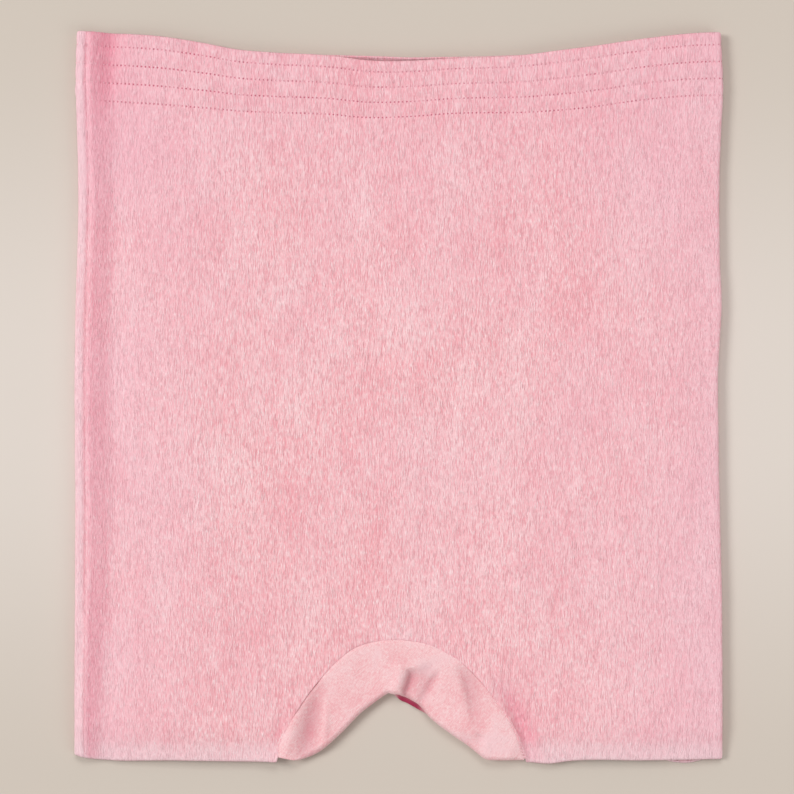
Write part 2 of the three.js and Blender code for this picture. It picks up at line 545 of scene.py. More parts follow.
@dataclass(frozen=True)
class CrinkleKnit:
    """The body's cloth: matt pink, with fine lengthwise crinkles and needle holes along the waist's rows.

    Cells and depths are in metres. Weights say how much a layer moves the tone, and a span says between which
    values a layer goes from nothing to all.
    """

    # The tone runs from groove to ridge: partly the knit's random tone, partly painted shade that darkens the
    # crinkles' grooves.
    groove: Colour = (0.875, 0.36, 0.405)
    ridge: Colour = (0.955, 0.675, 0.695)
    # Painted highlight: the lighter colour put on the crests of the fine crinkles.
    painted_highlight: Colour = (0.97, 0.81, 0.82)
    cool: Colour = (0.885, 0.525, 0.605)
    # Painted shade: the darker colour that the upper part of the shorts is blended towards.
    upper_zone: Colour = (0.82, 0.39, 0.50)
    # Painted shade: the fuller, darker colour in folds and creases, in the trough beside the left seam, and
    # along the arch seam and the waist edge.
    painted_shade: Colour = (0.80, 0.24, 0.33)
    pressed: Colour = (0.92, 0.715, 0.755)
    # Painted shade: the dark colour of the needle holes.
    hole: Colour = (0.60, 0.12, 0.19)
    fine_cell: Cell = (0.27 * MM, 2.6 * MM, 2.6 * MM)
    groove_cell: Cell = (0.36 * MM, 5.2 * MM, 5.2 * MM)
    course_cell: Cell = (2.4 * MM, 0.6 * MM, 2.4 * MM)
    cloud_cell: Cell = (20 * MM, 38 * MM, 20 * MM)
    dye_cell: Cell = (60 * MM, 75 * MM, 60 * MM)
    tension_cell: Cell = (7 * MM, 4 * MM, 9 * MM)
    crinkle_weight: float = 0.1
    fine_weight: float = 1.7
    course_weight: float = 0.3
    cloud_weight: float = 0.7
    cut_weight: float = 0.34
    painted_highlight_share: float = 0.6
    painted_top_shade_share: float = 0.22
    pressed_share: float = 0.5
    cut_span: Span = (0.42, 0.27)
    tone_span: Span = (-0.1, 1.08)
    painted_highlight_span: Span = (0.6, 0.74)
    tension_span: Span = (0.36, 0.58)
    painted_top_shade_y: Span = (0.03, 0.19)
    side_x: Span = (0.06, 0.19)
    first_row: Span = (-0.6, -0.4)
    last_row: Span = (3.6, 3.4)
    seam_x: Span = (-0.162, -0.15)
    fine_depth: float = 0.48 * MM
    course_depth: float = 0.08 * MM
    hole_depth: float = 0.25 * MM
    hole_radius: float = 0.56 * MM

    def build(self) -> bpy.types.Material:
        """Builds the material."""
        shader = Shader("crinkle_knit")
        fine = shader.noise(self.fine_cell, 1.0)
        groove = shader.noise(self.groove_cell, 0.0)
        course = shader.noise(self.course_cell, 1.0)
        cloud = shader.noise(self.cloud_cell, 3.0)
        cut = shader.step(groove, *self.cut_span)
        relief = shader.math("MULTIPLY_ADD", shader.mark("crinkle"), self.crinkle_weight, 0.5)
        relief = shader.vary(relief, fine, self.fine_weight)
        relief = shader.vary(relief, course, self.course_weight)
        relief = shader.vary(relief, cloud, self.cloud_weight)
        relief = shader.math("SUBTRACT", relief, shader.math("MULTIPLY", cut, self.cut_weight))
        # Darker where the relief is low: partly random tone, partly painted shade in the crinkles' grooves.
        colour = shader.blend(shader.step(relief, *self.tone_span), self.groove, self.ridge)
        # Painted highlight on the crests of the fine crinkles.
        shine = shader.math("MULTIPLY", shader.step(fine, *self.painted_highlight_span), self.painted_highlight_share)
        colour = shader.blend(shine, colour, self.painted_highlight)
        colour = shader.blend(self._coolness(shader), colour, self.cool)
        # Painted shade: the colour darkens towards the top of the shorts.
        high = shader.step(shader.split(shader.place())[1], *self.painted_top_shade_y)
        high = shader.math("MULTIPLY", high, self.painted_top_shade_share)
        colour = shader.blend(high, colour, self.upper_zone)
        # Painted shade in the folds and creases, streaked by the fine crinkles.
        streaks = shader.math("MULTIPLY_ADD", fine, -1.6, 1.8)
        streaked = shader.math("MULTIPLY", shader.mark("painted_shade"), streaks)
        colour = shader.blend(streaked, colour, self.painted_shade)
        lightness = shader.math("MULTIPLY", shader.mark("pressed"), self.pressed_share)
        colour = shader.blend(lightness, colour, self.pressed)
        hole = self._holes(shader)
        # Painted shade in the needle holes.
        shader.colour(shader.blend(hole, colour, self.hole))
        shader.bump(shader.math("MULTIPLY_ADD", cut, -0.35, fine), self.fine_depth, 0.9)
        shader.bump(course, self.course_depth, 0.6)
        shader.bump(shader.math("MULTIPLY", hole, -1.0), self.hole_depth, 0.6)
        shader.constant(Socket.ROUGHNESS, 0.92)
        shader.constant(Socket.SHEEN, 0.18)
        shader.constant(Socket.SHEEN_ROUGHNESS, 0.45)
        shader.constant(Socket.SPECULAR, 0.2)
        return shader.material

    def _coolness(self, shader: Shader) -> NodeSocket:
        """Gives how far the dye leans to a cooler pink: towards the sides, and in soft clouds.

        Args:
            shader: The material's node tree.

        Returns:
            The share's socket.
        """
        across = shader.split(shader.place())[0]
        side = shader.step(shader.math("ABSOLUTE", across), *self.side_x)
        cloud = shader.noise(self.dye_cell, 1.0)
        return shader.math("MULTIPLY_ADD", side, 0.42, shader.math("MULTIPLY_ADD", cloud, 0.5, -0.18))

    def _holes(self, shader: Shader) -> NodeSocket:
        """Gives the needle holes, one at every pitch along each row of stitches.

        Args:
            shader: The material's node tree.

        Returns:
            The socket of a value that is 1 in a hole's middle and 0 on the cloth.
        """
        along = shader.math("DIVIDE", shader.mark("around"), STITCH_PITCH)
        along = shader.math("ADD", shader.math("FRACT", along), -0.5)
        along = shader.math("MULTIPLY", along, STITCH_PITCH)
        row = shader.mark("row_place")
        off = shader.math("ADD", shader.math("FRACT", shader.math("ADD", row, 0.5)), -0.5)
        off = shader.math("MULTIPLY", off, ROW_PITCH)
        square = shader.math("ADD", shader.math("POWER", along, 2), shader.math("POWER", off, 2))
        distance = shader.math("SQRT", square)
        around = shader.step(distance, 0.35 * self.hole_radius, 1.25 * self.hole_radius)
        hole = shader.math("SUBTRACT", 1.0, around)
        tension = shader.step(shader.noise(self.tension_cell, 1.0), *self.tension_span)
        hole = shader.math("MULTIPLY", hole, shader.step(row, *self.first_row))
        hole = shader.math("MULTIPLY", hole, shader.step(row, *self.last_row))
        past_seam = shader.step(shader.split(shader.place())[0], *self.seam_x)
        hole = shader.math("MULTIPLY", hole, past_seam)
        return shader.math("MULTIPLY", hole, shader.math("MULTIPLY_ADD", tension, 0.45, 0.55))


@dataclass(frozen=True)
class GussetKnit:
    """The gusset's smoother knit: fine slanting ribs, hardly any crinkle, with painted shade in its creases
    and a dark painted crevice under the fold's peak.
    """

    low: Colour = (0.83, 0.40, 0.43)
    high: Colour = (0.925, 0.685, 0.69)
    cool: Colour = (0.86, 0.56, 0.59)
    # Painted shade: the dark colour of the crevice under the fold's peak.
    painted_crevice_shade: Colour = (0.37, 0.03, 0.08)
    rib_cell: Cell = (0.4 * MM, 1.7 * MM, 1.7 * MM)
    cross_cell: Cell = (1.5 * MM, 0.42 * MM, 1.5 * MM)
    cloud_cell: Cell = (14 * MM, 14 * MM, 14 * MM)
    rib_turn: float = -38.0
    rib_weight: float = 1.15
    rib_shift: float = -0.08
    cross_weight: float = 0.65
    cloud_weight: float = 0.8
    tone_span: Span = (0.0, 1.05)
    cool_span: Span = (0.45, 0.85)
    rib_depth: float = 0.4 * MM
    cross_depth: float = 0.26 * MM

    def build(self) -> bpy.types.Material:
        """Builds the material."""
        shader = Shader("gusset_knit")
        ribs = shader.noise(self.rib_cell, 1.0, self.rib_turn)
        cross = shader.noise(self.cross_cell, 1.0, self.rib_turn)
        cloud = shader.noise(self.cloud_cell, 2.0)
        relief = shader.math("MULTIPLY_ADD", ribs, self.rib_weight, self.rib_shift)
        relief = shader.vary(relief, cross, self.cross_weight)
        relief = shader.vary(relief, cloud, self.cloud_weight)
        colour = shader.blend(shader.step(relief, *self.tone_span), self.low, self.high)
        colour = shader.blend(shader.step(cloud, *self.cool_span), colour, self.cool)
        # Painted shade in the creases, and the dark crevice under the fold's peak.
        shader.colour(shader.blend(shader.mark("painted_shade"), colour, self.painted_crevice_shade))
        shader.bump(ribs, self.rib_depth, 0.7)
        shader.bump(cross, self.cross_depth, 0.55)
        shader.constant(Socket.ROUGHNESS, 0.9)
        shader.constant(Socket.SHEEN, 0.2)
        shader.constant(Socket.SHEEN_ROUGHNESS, 0.45)
        shader.constant(Socket.SPECULAR, 0.2)
        return shader.material


@dataclass(frozen=True)
class PressedKnit:
    """The body's cloth where it is turned in and pressed."""

    low: Colour = (0.80, 0.37, 0.43)
    high: Colour = (0.93, 0.60, 0.65)

    def build(self) -> bpy.types.Material:
        """Builds the material."""
        shader = Shader("turned_knit")
        fine = shader.noise((0.6 * MM, 2.6 * MM, 2.6 * MM), 2.0)
        shader.colour(shader.blend(shader.step(fine, 0.25, 0.75), self.low, self.high))
        shader.bump(fine, 0.25 * MM, 0.7)
        shader.constant(Socket.ROUGHNESS, 0.93)
        shader.constant(Socket.SHEEN, 0.18)
        shader.constant(Socket.SPECULAR, 0.2)
        return shader.material


@dataclass(frozen=True)
class BraidedElastic:
    """White braided elastic with slanting yarns."""

    yarn: Colour = (0.86, 0.83, 0.79)
    # Painted shade: the darker colour in the gaps between the yarns.
    gap: Colour = (0.55, 0.51, 0.47)
    yarn_cell: float = 0.9 * MM * 6.28
    yarn_turn: float = 30.0

    def build(self) -> bpy.types.Material:
        """Builds the material."""
        shader = Shader("braided_elastic")
        wave = shader.tree.nodes.new("ShaderNodeTexWave")
        wave.inputs["Scale"].default_value = 1.0
        wave.inputs["Distortion"].default_value = 0.6
        shader.link(shader.stretch((self.yarn_cell,) * 3, self.yarn_turn), wave.inputs["Vector"])
        # Painted shade between the yarns.
        shader.colour(shader.blend(shader.step(wave.outputs["Fac"], 0.1, 0.6), self.gap, self.yarn))
        shader.bump(wave.outputs["Fac"], 0.2 * MM)
        shader.constant(Socket.ROUGHNESS, 0.75)
        shader.constant(Socket.SPECULAR, 0.3)
        return shader.material


@dataclass(frozen=True)
class SewingThread:
    """Pink spun thread with a slight lustre."""

    low: Colour = (0.78, 0.36, 0.43)
    high: Colour = (0.95, 0.64, 0.69)

    def build(self) -> bpy.types.Material:
        """Builds the material."""
        shader = Shader("sewing_thread")
        twist = shader.noise((0.25 * MM, 0.12 * MM, 0.2 * MM), 2.0, 25.0)
        wear = shader.noise((9 * MM, 9 * MM, 9 * MM), 1.0)
        share = shader.math("MULTIPLY_ADD", twist, 0.6, shader.math("MULTIPLY", wear, 0.5))
        shader.colour(shader.blend(shader.step(share, 0.2, 0.85), self.low, self.high))
        shader.bump(twist, 0.08 * MM)
        shader.constant(Socket.ROUGHNESS, 0.6)
        shader.constant(Socket.SHEEN, 0.2)
        return shader.material


# ------------------------------------------------------------------------------------ the laid shape


@dataclass(frozen=True)
class Lay:
    """How the shorts lie: outlines, and the height of the upper cloth everywhere.

    Single sizes and spans are in metres, and a span says between which two places a change runs. Lines of
    points are in millimetres. The drops and rises start with a place across, as a share of half the width,
    the edges out with a place along, and the arch, the notch and the lift with a place across.
    """

    half_width: float
    hem_y: float
    corner_y: float
    fold: float = 3.8 * MM
    squareness: float = 0.55
    seam_in: float = 5.6 * MM
    row_first: float = 7.2 * MM
    row_count: int = 4
    waist_front_drop: Points = (
        (-1.0, 0.0), (-0.94, 0.7), (-0.71, 3.7), (-0.6, 6.8), (-0.49, 10.3), (-0.4, 11.6), (-0.21, 13.3),
        (-0.09, 15.8), (0.04, 16.0), (0.15, 14.8), (0.41, 12.5), (0.48, 10.9), (0.59, 8.6), (0.75, 4.6),
        (0.94, 1.2), (1.0, 0.8),
    )
    waist_back_drop: Points = (
        (-1.0, 0.4), (-0.6, 7.0), (-0.4, 11.8), (-0.19, 13.0), (-0.06, 13.6), (0.04, 14.2), (0.12, 14.0),
        (0.3, 13.4), (0.41, 12.3), (0.5, 9.7), (0.6, 8.0), (0.75, 5.2), (1.0, 1.2),
    )
    row_squeeze: Points = (
        (-1.0, 1.0), (-0.7, 0.99), (-0.49, 0.9), (-0.18, 0.86), (0.03, 0.82), (0.33, 0.83), (0.5, 0.88),
        (0.8, 0.9), (1.0, 0.93),
    )
    hem_front_rise: Points = (
        (-1.0, 3.4), (-0.96, 1.9), (-0.93, 1.2), (-0.7, 0.7), (-0.4, 0.1), (-0.3, 0.1), (0.4, -0.3),
        (0.47, -0.9), (0.52, 0.3), (0.76, 0.8), (1.0, 1.4),
    )
    hem_back_rise: Points = (
        (-1.0, 3.4), (-0.9, 2.6), (0.0, 2.4), (0.8, 1.9), (0.84, 0.0), (0.9, -0.7), (0.93, 0.4), (0.97, 1.6),
        (1.0, 1.8),
    )
    left_edge_out: Points = (
        (-190.0, 0.7), (-60.0, 0.2), (35.0, 0.2), (70.0, -0.7), (105.0, -1.5), (150.0, -0.5), (170.0, 0.1),
        (193.0, -0.7),
    )
    right_edge_out: Points = (
        (-190.0, 0.6), (-106.0, 0.2), (-33.0, -1.4), (15.0, -1.7), (51.0, 0.0), (72.0, -0.9), (125.0, -0.8),
        (161.0, 0.6), (193.0, -0.3),
    )
    arch: Points = (
        (-63.6, 2.0), (-62.6, 9.0), (-58.1, 18.9), (-52.0, 29.3), (-45.5, 38.6), (-38.5, 46.8), (-31.5, 54.0),
        (-24.0, 59.8), (-15.0, 63.2), (-3.4, 64.6), (8.5, 63.8), (19.0, 60.6), (29.0, 55.3), (38.0, 48.3),
        (45.5, 39.8), (51.5, 32.0), (56.8, 24.4), (60.9, 16.6), (64.2, 9.0), (67.0, 1.2),
    )
    notch: Points = (
        (-54.6, 0.9), (-50.8, 1.4), (-41.8, 5.3), (-30.8, 14.7), (-21.0, 24.7), (-15.7, 29.1), (-7.6, 34.9),
        (-4.2, 36.0), (0.8, 32.4), (5.5, 30.2), (10.3, 27.4), (15.8, 23.7), (21.8, 18.9), (29.0, 13.7),
        (36.0, 8.9), (41.3, 4.7), (46.0, 1.4), (52.3, 0.8), (66.4, 0.8),
    )
    fan: float = 100 * MM
    join_rise: float = 120 * MM
    roll: float = 1.6 * MM
    tuck: float = 1.3 * MM
    side_zone: Span = (0.6, 1.0)
    hem_drop: float = 3.5 * MM
    hem_zone: Span = (-3 * MM, 20 * MM)
    arch_drop: float = 1.2 * MM
    arch_zone: Span = (-3 * MM, 22 * MM)
    leg_zone: Span = (62 * MM, 80 * MM)
    waves: tuple[tuple[float, Streaks], ...] = (
        (0.32 * MM, Streaks(34 * MM, 70 * MM, 5)),
        (0.16 * MM, Streaks(9 * MM, 30 * MM, 8)),
    )
    trough_slide: float = 4.5 * MM
    slide_y: Span = (-180 * MM, -80 * MM)
    slide_x: Span = (-140 * MM, -115 * MM)
    trough_left: Span = (-164.6 * MM, -161.5 * MM)
    trough_right: Span = (-156 * MM, -147 * MM)
    shade_y: Span = (140 * MM, 168 * MM)
    shade_x: Span = (-164 * MM, -160 * MM)
    arch_steps: int = 400
    hem_steps: int = 60
    top_lift: Points = (
        (-170.3, 0.0), (-166.8, 0.3), (-164.8, 0.0), (-162.0, 1.15), (-158.5, 0.5), (-150.5, -1.2),
        (-142.0, -0.6), (-127.0, 0.6), (-60.0, 1.0), (60.0, 1.0), (140.0, 0.9), (157.0, 0.6), (166.0, 0.15),
        (170.3, 0.0),
    )
    creases: tuple[Crease, ...] = (
        Crease(((32, 228), (20, 160), (6, 86)), 0.3, 3.0),
        Crease(((47.6, 54), (50.1, 47), (51.5, 41), (53.0, 33)), 0.8, 1.7),
        Crease(((54, 41), (60.5, 28), (66.5, 14), (70.5, -6)), 4.0, 4.4, lean=0.3, ends=(0.3, 0.6)),
        Crease(((-66, 2), (-64, 14), (-60, 24)), 0.9, 3.0),
        Crease(((-151, 400), (-152, 380), (-154, 348)), 1.9, 6.0, lean=-0.3),
    )

    @property
    def flat(self) -> float:
        """The length across the top between the two side folds."""
        return 2 * (self.half_width - self.fold)

    @property
    def turn(self) -> float:
        """The length of cloth in one side fold."""
        return math.pi * self.fold

    @property
    def girth(self) -> float:
        """The length of cloth once round."""
        return 2 * (self.flat + self.turn)

    @property
    def left_seam(self) -> float:
        """Where the left side seam lies round the girth: on top, just in from the fold."""
        return self.seam_in - self.fold

    @property
    def right_seam(self) -> float:
        """Where the right side seam lies round the girth: underneath, just in from the fold."""
        return self.flat + self.turn + self.seam_in - self.fold

    def section(self, around: Array) -> tuple[Array, Array, Array]:
        """Walks round the section of a garment with straight sides.

        Args:
            around: The distance round from the left fold's upper end, over the top first.

        Returns:
            Across, the turn's cosine (1 on top, -1 underneath) and its sine (1 at the right fold's edge).
        """
        around = np.mod(around, self.girth)
        reach = self.half_width - self.fold
        right = (around - self.flat) / self.fold
        left = (around - 2 * self.flat - self.turn) / self.fold
        under = (around > self.flat + self.turn) & (around <= 2 * self.flat + self.turn)
        turn = np.where(around > 2 * self.flat + self.turn, math.pi + left, np.clip(right, 0, math.pi))
        side = np.sign(np.sin(turn)) * np.abs(np.sin(turn)) ** self.squareness
        across = np.where(around <= self.flat, around - reach, reach + self.fold * side)
        across = np.where(under, reach - (around - self.flat - self.turn), across)
        across = np.where(around > 2 * self.flat + self.turn, -reach + self.fold * side, across)
        cosine = np.sign(np.cos(turn)) * np.abs(np.cos(turn)) ** self.squareness
        return across, cosine, np.sin(turn)

    def waist(self, across: Array, front: Array) -> Array:
        """Gives the waist edge's place along Y, for a share of front from 0 to 1."""
        share = across / self.half_width
        drop = front * smooth_line(self.waist_front_drop, share)
        return self.corner_y - MM * (drop + (1 - front) * smooth_line(self.waist_back_drop, share))

    def hem(self, across: Array, front: Array) -> Array:
        """Gives the hem's place along Y, for a share of front from 0 to 1."""
        share = across / self.half_width
        rise = front * smooth_line(self.hem_front_rise, share)
        return self.hem_y + MM * (rise + (1 - front) * smooth_line(self.hem_back_rise, share))

    def row_depth(self, row: float, across: Array) -> Array:
        """Gives how far below the waist edge a row of stitches lies."""
        squeeze = smooth_line(self.row_squeeze, across / self.half_width)
        return (self.row_first + row * ROW_PITCH) * squeeze

    def row_place(self, across: Array, depth: Array) -> Array:
        """Gives the place among the rows of stitches: 0 on the first, 1 on the second, and so on."""
        squeeze = smooth_line(self.row_squeeze, across / self.half_width)
        return (depth / squeeze - self.row_first) / ROW_PITCH

    def edge_shift(self, across: Array, y: Array) -> Array:
        """Gives how far the uneven side folds move the cloth outwards or inwards.

        Args:
            across: Distance across from the middle, in metres.
            y: Where the cloth lies along, in metres.

        Returns:
            The shift along X, in metres.
        """
        share = across / self.half_width
        right = ease(*self.side_zone, share) * smooth_line(self.right_edge_out, y / MM)
        left = ease(*self.side_zone, -share) * smooth_line(self.left_edge_out, y / MM)
        return MM * (right - left)

    def lower_edge(self, across: Array, front: Array) -> tuple[Array, Array]:
        """Follows the panel's lower edge: the leg hems, and the arch that the gusset is sewn to.

        Args:
            across: Where each column of the cloth lies higher up.
            front: The share of front.

        Returns:
            The edge's X and Y.
        """
        arch = smooth_path(self.arch, np.linspace(0, 1, self.arch_steps)) * MM
        left = np.linspace(-self.fan, arch[0, 0], self.hem_steps)[:-1]
        right = np.linspace(arch[-1, 0], self.fan, self.hem_steps)[1:]
        level = np.zeros(self.hem_steps - 1)
        x = np.concatenate([left, arch[:, 0], right])
        hem = self.hem(x, np.ones_like(x))
        rise = np.concatenate([level, arch[:, 1], level])
        y = np.where(rise > 0, self.hem_y + rise, hem)
        length = np.concatenate([[0], np.cumsum(np.hypot(np.diff(x), np.diff(y)))])
        share = (across + self.fan) / (2 * self.fan)
        fanned = (share > 0) & (share < 1)
        edge_x = np.where(fanned, np.interp(share * length[-1], length, x), across)
        edge_y = np.where(fanned, np.interp(share * length[-1], length, y), self.hem(across, front))
        return edge_x, edge_y

    def slide(self, x: Array, y: Array) -> Array:
        """Gives how far the trough beside the left seam moves outwards, lower down."""
        return self.trough_slide * fall(*self.slide_y, y) * fall(*self.slide_x, x)

    def top_height(self, x: Array, y: Array) -> Array:
        """Gives how far the upper layer lies above the side folds' tops.

        Args:
            x: Distance across from the middle, in metres.
            y: Where the cloth lies along, in metres.

        Returns:
            The height, in metres; less than nought is lower than the folds.
        """
        rise = y - self.hem_y
        height = MM * smooth_line(self.top_lift, (x + self.slide(x, y)) / MM)
        height -= self.hem_drop * fall(*self.hem_zone, rise) * ease(*self.leg_zone, np.abs(x))
        height -= self.arch_drop * fall(*self.arch_zone, rise) * fall(*self.leg_zone, np.abs(x))
        for size, wave in self.waves:
            height += size * wave.height(x, y)
        for crease in self.creases:
            height -= crease.drop(x, rise)
        return height

    def trough(self, x: Array, y: Array) -> Array:
        """Gives the share, from 0 to 1, to which a point lies in the trough beside the left seam."""
        slide = self.slide(x, y)
        return ease(*self.trough_left, x + 0.2 * slide) * fall(*self.trough_right, x + 1.3 * slide)

    def painted_fold_shade(self, x: Array, y: Array) -> Array:
        """Gives the painted shade on the upper layer: a fuller, darker colour in its creases and folds, in
        the trough beside the left seam, and in a patch near the top left corner.

        Args:
            x: Distance across from the middle, in metres.
            y: Where the cloth lies along, in metres.

        Returns:
            The share, from 0 to 0.6.
        """
        drop = sum(crease.drop(x, y - self.hem_y) for crease in self.creases)
        trough = (0.3 + 0.09 * self.slide(x, y) / self.trough_slide) * self.trough(x, y)
        shade = 0.14 * hill(x, -150 * MM, 13 * MM)
        trough += shade * ease(*self.shade_y, y) * ease(*self.shade_x, x)
        return np.clip(np.clip(drop / (7 * MM), 0, 0.4) + trough, 0, 0.6)

    def place(self, around: Array, x: Array, y: Array, out: Array | float) -> Array:
        """Places points of the body's cloth.

        Args:
            around: The distance round the section, which decides top, fold or underneath.
            x: Where the point lies across, before the side folds' unevenness.
            y: Where it lies along.
            out: How far it stands out of the surface; less than nought is inwards.

        Returns:
            The points, with their coordinates in the last axis.
        """
        _, cosine, sine = self.section(around)
        upper = np.clip(cosine, 0, 1)
        z = self.fold * (1 + cosine) + upper * self.top_height(x, y) + out * cosine
        return np.stack([x + self.edge_shift(x, y) + out * sine, y, z], axis=-1)


# ------------------------------------------------------------------------------------ the pieces


class Side(Enum):
    """The two halves of the shorts."""

    FRONT = "front"
    BACK = "back"


@dataclass(frozen=True)
class Panel:
    """One of the two crinkle-knit panels, from side seam to side seam.

    Its rows of points start close together at both edges. They are given in millimetres below the waist edge,
    and as shares of the way up from the lower edge. The underside reads other ridges, a shift away.
    """

    lay: Lay
    side: Side
    columns: int = 556
    waist_rows: tuple[float, ...] = (0.0, 0.35, 0.8, 1.4, 2.1, 3.0, 4.0)
    waist_rows_end: float = 43.0
    hem_rows: tuple[float, ...] = (0.0, 0.004, 0.011, 0.022)
    hem_rows_rest: tuple[float, float, int] = (0.04, 1, 40)
    middle_rows: int = 74
    fan_power: float = 1.5
    thickness: float = 0.9 * MM
    crinkle: float = 0.145 * MM
    channel: float = 0.15 * MM
    channel_width: float = 1.5 * MM
    puff: float = 0.13 * MM
    pucker: float = 0.07 * MM
    pucker_width: float = 2.4 * MM
    curl: float = 5.4 * MM
    curl_depth: Span = (2.2 * MM, 4.0 * MM)
    curl_half: Span = (58 * MM, 80 * MM)
    rim_width: float = 1.3 * MM
    hem_press: Span = (5.5 * MM, 14.0 * MM)
    strip_x: Span = (-167 * MM, -165 * MM)
    sewn_rise: float = 75 * MM
    sewn_half: float = 68 * MM
    most_triangles: int = 196_000
    under_shift: float = 7.0
    ridges: tuple[tuple[float, Streaks], ...] = (
        (0.75, Streaks(1.25 * MM, 7.5 * MM, 21)),
        (0.32, Streaks(2.4 * MM, 12 * MM, 22)),
        (0.2, Streaks(5.5 * MM, 22 * MM, 23)),
    )

    def span(self) -> tuple[float, float]:
        """Gives where the panel starts and ends round the girth."""
        lay = self.lay
        if self.side is Side.FRONT:
            return lay.left_seam, lay.right_seam
        return lay.right_seam - lay.tuck, lay.left_seam + lay.girth + lay.tuck

    def build(self, material: bpy.types.Material) -> bpy.types.Object:
        """Makes the panel.

        Args:
            material: The crinkle knit.

        Returns:
            The piece.
        """
        lay = self.lay
        start, end = self.span()
        around = np.linspace(start, end, self.columns)[None, :]
        across, cosine, _ = lay.section(around)
        front = (1 + cosine) / 2
        waist = lay.waist(across, front)
        low_x, low_y = lay.lower_edge(across, front)
        join_y = lay.hem_y + lay.join_rise
        first, last = self.waist_rows[-1] + 1, self.waist_rows_end
        band = np.array([*self.waist_rows, *np.arange(first, last)]) * MM
        climb = np.array([*self.hem_rows, *np.linspace(*self.hem_rows_rest)])[:, None]
        lower_x = low_x + (across - low_x) * (1 - (1 - climb) ** self.fan_power)
        lower_y = low_y + (join_y - low_y) * climb
        share = np.linspace(0, 1, self.middle_rows)[1:-1, None]
        middle_y = join_y + (waist - band[-1] - join_y) * share
        upper_y = waist - band[::-1][:, None]
        y = np.concatenate([lower_y, middle_y, upper_y])
        x = np.concatenate([lower_x, across + 0 * middle_y, across + 0 * upper_y])
        depth = waist - y
        edge = np.minimum(depth, (y - low_y) + 0.6 * np.abs(x - low_x) + 0 * depth)
        place, marks = self._surface(around + 0 * y, x, y, depth, edge)
        piece = cloth_from_grid(self.side.value + "_cloth", place, marks)
        thicken(piece, self.thickness, self.most_triangles)
        dress(piece, material, "crinkle_knit", self.side.value + "_panel")
        return piece

    def _surface(
        self, around: Array, x: Array, y: Array, depth: Array, edge: Array
    ) -> tuple[Array, dict[str, Array]]:
        """Shapes the panel's surface: crinkles, sewn channels and rolled edges.

        Args:
            around: Each point's distance round the girth, in metres like the others.
            x: The distance across from the middle.
            y: Where the point lies along.
            depth: The distance below the waist edge.
            edge: The distance to the nearest cut edge, at the waist, the hem or the arch.

        Returns:
            The points, and the named values to keep on them.
        """
        lay = self.lay
        across = x + np.where(around > lay.flat, self.under_shift, 0.0)
        crinkle = sum(weight * ridge.height(across, y) for weight, ridge in self.ridges)
        row = lay.row_place(x, depth)
        nearest = np.clip(np.rint(row), 0, lay.row_count - 1)
        off = (row - nearest) * ROW_PITCH
        within = ease(-0.6, -0.2, row) * fall(3.1, 3.5, row)
        held = within * np.cos(np.pi * (row - nearest)) ** 2
        pucker = np.cos(2 * np.pi * around / STITCH_PITCH) * hill(off, 0, self.pucker_width)
        hem = fall(*self.hem_press, y - lay.hem_y)
        upper_zone = 1 + 0.6 * fall(3.3, 4.2, row)
        out = self.crinkle * crinkle * upper_zone * (1 - 0.35 * hem) + self.puff * (1 - held) * within
        out += self.pucker * pucker - self.channel * hill(off, 0, self.channel_width)
        roll = np.clip(1 - edge / lay.roll, 0, 1)
        sewn = (y < lay.hem_y + self.sewn_rise) & (np.abs(x) < self.sewn_half)
        out -= np.where(sewn, 0.4, 1.0) * MM * (1 - np.sqrt(np.clip(1 - roll**2, 0, 1)))
        seam = np.minimum(around - around[0, 0], around[0, -1] - around)
        if self.side is Side.FRONT:
            out -= 0.3 * MM * fall(0, 1.2 * MM, seam)
        else:
            out -= 0.8 * MM * fall(lay.tuck - 0.2 * MM, lay.tuck + 1.0 * MM, seam)
            under = (around > lay.flat + lay.turn) & (around < 2 * lay.flat + lay.turn)
            curl = fall(*self.curl_depth, depth) * fall(*self.curl_half, np.abs(x))
            out -= self.curl * curl * under
        rim = hill(edge, 0, self.rim_width)
        strip = fall(*self.strip_x, x) * (self.side is Side.BACK)
        hem_rim = 0.8 * rim * (1 - sewn) * (depth > 60 * MM)
        marks = {
            "crinkle": crinkle,
            # Painted shade: the folds and the trough, and the rims along the arch seam and the waist edge.
            "painted_shade": lay.painted_fold_shade(x, y) + 0.12 * rim * sewn + 0.1 * rim * (depth < 6 * MM),
            "pressed": np.clip(0.75 * hem * (1 - 0.7 * lay.trough(x, y)) + hem_rim + 0.7 * strip, 0, 1),
            "around": around,
            "row_place": row,
        }
        return lay.place(around, x, y, out), marks


